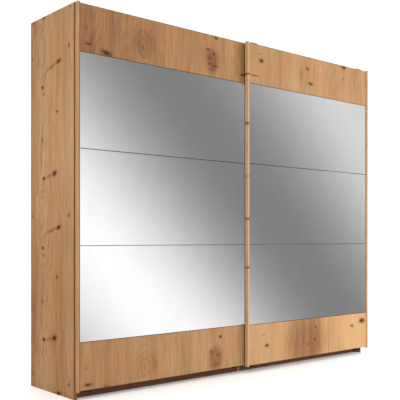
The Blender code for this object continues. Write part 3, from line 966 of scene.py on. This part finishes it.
# %% Painted shade strips at the mirrors, and dark strips on the doors' tops
STRIP = 3.6 * MM
STRIP_RISE = 0.6 * MM
STRIP_ROUNDING = 0.2 * MM
GLASS_CLEARANCE = 0.05 * MM
BAND_CLEARANCE = 0.1 * MM
LIP = 1.6 * MM
LIP_ROUNDING = 0.3 * MM
for door in ("left_door", "right_door"):
    for label in ("bottom", "top"):
        pane_low, pane_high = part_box(f"{door}_mirror_{label}")
        inner_z = pane_low.z if label == "bottom" else pane_high.z - STRIP
        # A dark strip in the corner where band meets mirror: painted shade of the gap there.
        strip = block(
            f"{door}_painted_shade_strip_{label}",
            (pane_low.x, pane_low.y - STRIP_RISE, inner_z),
            (pane_high.x, pane_low.y - GLASS_CLEARANCE, inner_z + STRIP),
        )
        rounded(strip, STRIP_ROUNDING)
        fitted(strip, door, brown_plastic)
    # A thin dark brown strip along the top edge of each band.
    band_low, band_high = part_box(f"{door}_band_top")
    core_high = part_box(f"{door}_core")[1]
    edge = block(
        f"{door}_top_dark_strip",
        (band_low.x, band_low.y, band_high.z + BAND_CLEARANCE),
        (band_high.x, core_high.y, band_high.z + LIP),
    )
    rounded(edge, LIP_ROUNDING)
    fitted(edge, door, brown_plastic)
print("4 joint strips and 2 edge bands")

# %% [markdown]
# ## Screws, nails and caps
# Every head here is round with a rounded rim, and a screw has a sunk drive. One of each is modelled
# from a cylinder: the rim is bevelled, and the drive is inset and pushed in. Copies are turned to face
# out of their board and joined into one piece for each row, because a row is fitted as a set.

# %% Model a head once, copy it to its places
HEAD_SIDES = 20
RIM_SHARE = 0.35
DRIVE_SHARE = 0.65
SMOOTH_BELOW = math.radians(35)


def head(name, radius, height, recess=0.0, drive=0.5):
    """A round head on Z = 0 at the origin. Its drive is sunk by the recess, and 1 is the widest."""
    deselect()
    bpy.ops.mesh.primitive_cylinder_add(
        vertices=HEAD_SIDES, radius=radius, depth=height, location=(0, 0, height / 2)
    )
    piece = bpy.context.object
    piece.name = name
    bpy.ops.object.transform_apply(location=True, rotation=True, scale=True)
    rounded(piece, height * RIM_SHARE)
    if recess:
        top = max(face.center.z for face in piece.data.polygons)
        edit_faces(piece, lambda centre, normal: centre.z > top - 0.01 * MM)
        bpy.ops.mesh.inset(thickness=radius * DRIVE_SHARE * (1 - drive))
        bpy.ops.mesh.extrude_region_move(TRANSFORM_OT_translate={"value": (0, 0, -recess)})
        bpy.ops.object.mode_set(mode="OBJECT")
    bpy.ops.object.shade_smooth_by_angle(angle=SMOOTH_BELOW)
    return piece


def row(name, pattern, places, towards, body, finish):
    """Copies of one head at each place, all facing the same way, joined into one piece."""
    turn = Vector(towards).to_track_quat("Z", "Y").to_matrix().to_4x4()
    copies = []
    for place in places:
        copy = bpy.data.objects.new(name, pattern.data.copy())
        copy.data.transform(Matrix.Translation(place) @ turn)
        bpy.context.scene.collection.objects.link(copy)
        copies.append(copy)
    deselect()
    for copy in copies:
        copy.select_set(True)
    bpy.context.view_layer.objects.active = copies[0]
    if len(copies) > 1:
        bpy.ops.object.join()
    return fitted(bpy.context.view_layer.objects.active, body, finish)


wood_screw = head("wood_screw", 3.6 * MM, 2.0 * MM, recess=1.2 * MM)
small_screw = head("small_screw", 2.6 * MM, 1.4 * MM, recess=0.9 * MM)
nail = head("nail", 2.2 * MM, 0.9 * MM)
cover_cap = head("cover_cap", 6.5 * MM, 1.3 * MM)
cam_cap = head("cam_cap", 8.5 * MM, 0.9 * MM, recess=0.4 * MM, drive=0.8)
print("5 heads")

# %% Screws in the hangers and guides
PLATE = 3 * MM
HANGER_SCREW_INSET = 12 * MM
HANGER_SCREW_HEIGHTS = (12 * MM, 48 * MM)
GUIDE_SCREW_INSET = 10 * MM
GUIDE_SCREW_DROP = 12 * MM
BACKWARD = (0, 1, 0)

for door in ("left_door", "right_door"):
    for label in ("left", "right"):
        low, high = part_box(f"{door}_hanger_{label}")
        spots = [
            (x, low.y + PLATE, low.z + rise)
            for x in (low.x + HANGER_SCREW_INSET, high.x - HANGER_SCREW_INSET)
            for rise in HANGER_SCREW_HEIGHTS
        ]
        name = f"{door}_hanger_screws_{label}"
        row(name, wood_screw, spots, BACKWARD, door, zinc_metal)

        low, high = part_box(f"{door}_guide_{label}")
        spots = [
            (x, low.y + PLATE, high.z - GUIDE_SCREW_DROP)
            for x in (low.x + GUIDE_SCREW_INSET, high.x - GUIDE_SCREW_INSET)
        ]
        name = f"{door}_guide_screws_{label}"
        row(name, wood_screw, spots, BACKWARD, door, black_coat)
print("screws in 4 hangers and 4 guides")

# %% Screws in the rails
RAIL_SCREWS = 9
RAIL_WEB = 3 * MM
RAIL_SCREW_INSET = 60 * MM
RAIL_SCREW_FORWARD = 4 * MM
GUIDE_RAIL_SCREW_INSET = 3.8 * MM

low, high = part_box("top_rail")
step = (high.x - low.x - 2 * RAIL_SCREW_INSET) / (RAIL_SCREWS - 1)
columns = [low.x + RAIL_SCREW_INSET + step * i for i in range(RAIL_SCREWS)]
between_ribs = (low.y + high.y) / 2 - RAIL_SCREW_FORWARD
spots = [(x, between_ribs, low.z + RAIL_WEB) for x in columns]
row("top_rail_screws", small_screw, spots, (0, 0, 1), "carcass", zinc_metal)

low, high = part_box("bottom_guide_rail")
spots = [(x, high.y - GUIDE_RAIL_SCREW_INSET, low.z) for x in columns]
row("guide_rail_screws", small_screw, spots, (0, 0, -1), "carcass", zinc_metal)
print(2 * RAIL_SCREWS, "rail screws")

# %% Cover caps, cam caps and nails
CAP_FROM_TOP = 13 * MM
CAP_FROM_FRONT = 46 * MM
CAP_FROM_BACK = 39 * MM
CAM_FROM_END = 34 * MM
CAM_FROM_EDGE = 60 * MM
NAILS = 6
NAIL_FROM_SIDE = 20 * MM
NAIL_FROM_END = 9 * MM


def cam_spots(low, high, face_z):
    """Four places near a board's corners, on its upper or lower face."""
    return [
        (x, y, face_z)
        for x in (low.x + CAM_FROM_END, high.x - CAM_FROM_END)
        for y in (low.y + CAM_FROM_EDGE, high.y - CAM_FROM_EDGE)
    ]


def capped(name, pattern, spots, towards):
    """A row of brown caps on the carcass."""
    row(name, pattern, spots, towards, "carcass", brown_plastic)


for side, facing in (("left", -1), ("right", 1)):
    low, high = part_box(f"side_panel_{side}")
    face = low.x if side == "left" else high.x
    depths = (low.y + CAP_FROM_FRONT, high.y - CAP_FROM_BACK)
    spots = [(face, y, high.z - CAP_FROM_TOP) for y in depths]
    capped(f"side_panel_cover_caps_{side}", cover_cap, spots, (facing, 0, 0))

    low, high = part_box(f"bottom_panel_{side}")
    capped(f"cam_caps_{side}", cam_cap, cam_spots(low, high, high.z), (0, 0, 1))
    low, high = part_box(f"shelf_{side}")
    capped(f"shelf_cam_caps_{side}", cam_cap, cam_spots(low, high, low.z), (0, 0, -1))

    for half in ("left", "right"):
        low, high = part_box(f"back_sheet_{side}_{half}")
        step = (high.x - low.x - 2 * NAIL_FROM_SIDE) / (NAILS - 1)
        spots = [
            (low.x + NAIL_FROM_SIDE + step * i, high.y, z)
            for i in range(NAILS)
            for z in (low.z + NAIL_FROM_END, high.z - NAIL_FROM_END)
        ]
        name = f"back_nails_{side}_{half}"
        row(name, nail, spots, BACKWARD, "carcass", zinc_metal)
for pattern in (wood_screw, small_screw, nail, cover_cap, cam_cap):
    bpy.data.objects.remove(pattern)
print("caps and nails placed")

# %% [markdown]
# ## Strips that join the back
# The thin back comes in two sheets for each half, and an H-shaped plastic strip joins them. A block as
# thick as both flanges is grooved from each side, by insetting its narrow side face and pushing the
# inner face in, until a slim web is left between the sheets' edges.

# %% Back joining strips
FLANGE = 1.5 * MM
STRIP_HALF = 10 * MM
WEB_HALF = 1.0 * MM
SHEET_CLEARANCE = 0.1 * MM
END_CLEARANCE = 0.3 * MM

for side in ("left", "right"):
    left_low, left_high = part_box(f"back_sheet_{side}_left")
    right_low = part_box(f"back_sheet_{side}_right")[0]
    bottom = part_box(f"bottom_panel_{side}")[1].z
    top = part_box(f"top_panel_{side}")[0].z
    middle = (left_high.x + right_low.x) / 2
    strip = block(
        f"back_joining_strip_{side}",
        (middle - STRIP_HALF, left_low.y - FLANGE - SHEET_CLEARANCE, bottom + END_CLEARANCE),
        (middle + STRIP_HALF, left_high.y + FLANGE + SHEET_CLEARANCE, top - END_CLEARANCE),
    )
    for facing in (-1, 1):
        edit_faces(strip, looks_along((facing, 0, 0)))
        bpy.ops.mesh.inset(thickness=FLANGE)
        bpy.ops.mesh.extrude_region_move(
            TRANSFORM_OT_translate={"value": (-facing * (STRIP_HALF - WEB_HALF), 0, 0)}
        )
        bpy.ops.object.mode_set(mode="OBJECT")
    fitted(strip, "carcass", beige_plastic)
print("2 joining strips")

# %% [markdown]
# ## The size of everything shown
# The looks must not change the wardrobe's size, so the size of the box of everything shown is
# printed.

# %% Print the size of everything shown
low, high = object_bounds()
print("size kept:", [round(b - a, 3) for a, b in zip(low, high)])
